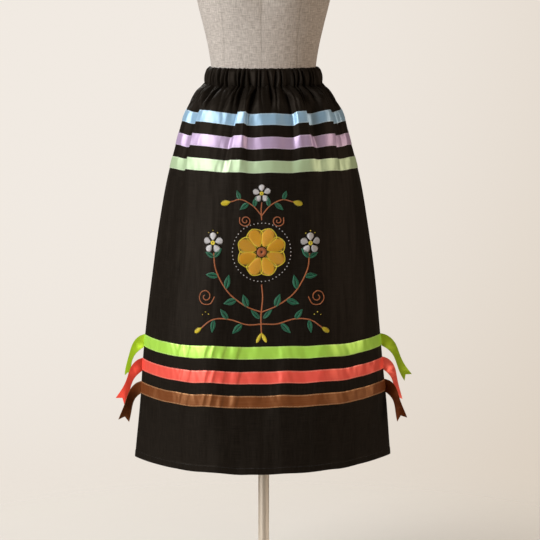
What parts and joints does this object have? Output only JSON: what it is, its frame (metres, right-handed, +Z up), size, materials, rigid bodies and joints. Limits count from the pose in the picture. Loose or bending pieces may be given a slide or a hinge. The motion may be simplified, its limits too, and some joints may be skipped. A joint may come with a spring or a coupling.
{
  "type": "ribbon skirt on a limbless dress form",
  "caption": "Long black cotton ribbon skirt, gathered into an elastic waistband, with satin ribbon bands and loose ribbon ends, worn on a limbless dress form on a pole.",
  "frame": {"origin": "on the floor, under the centre of the pole's round base", "axes": "+Z up along the pole; the skirt's front faces -Y, its side seams lie at -X and +X"},
  "size_m": [0.647, 0.34, 1.6063],
  "materials": {
    "black_cotton": "plain-weave black cotton, washed, matt",
    "satin_sky": "single-face polyester satin ribbon, one inch wide, glossy",
    "satin_lavender": "single-face polyester satin ribbon, one inch wide, glossy",
    "satin_mint": "single-face polyester satin ribbon, one inch wide, glossy",
    "satin_lime": "single-face polyester satin ribbon, one inch wide, glossy",
    "satin_coral": "single-face polyester satin ribbon, one inch wide, glossy",
    "satin_brown": "single-face polyester satin ribbon, one inch wide, glossy",
    "linen": "natural linen stretched over a padded form, matt",
    "oiled_beech": "turned beech, oiled",
    "satin_nickel": "satin nickel plate on steel, warm"
  },
  "bodies": {
    "root": {"waistband": "black_cotton", "front_panel": "black_cotton", "back_panel": "black_cotton", "ribbon_sky_front": "satin_sky", "ribbon_sky_back": "satin_sky", "ribbon_lavender_front": "satin_lavender", "ribbon_lavender_back": "satin_lavender", "ribbon_mint_front": "satin_mint", "ribbon_mint_back": "satin_mint", "ribbon_lime_front": "satin_lime", "ribbon_lime_back": "satin_lime", "ribbon_coral_front": "satin_coral", "ribbon_coral_back": "satin_coral", "ribbon_brown_front": "satin_brown", "ribbon_brown_back": "satin_brown", "tail_lime_left": "satin_lime", "tail_coral_left": "satin_coral", "tail_brown_left": "satin_brown", "tail_lime_right": "satin_lime", "tail_coral_right": "satin_coral", "tail_brown_right": "satin_brown", "form_torso": "linen", "form_neck_cap": "oiled_beech", "stand_pole": "satin_nickel", "stand_base": "satin_nickel"}
  },
  "joints": []
}
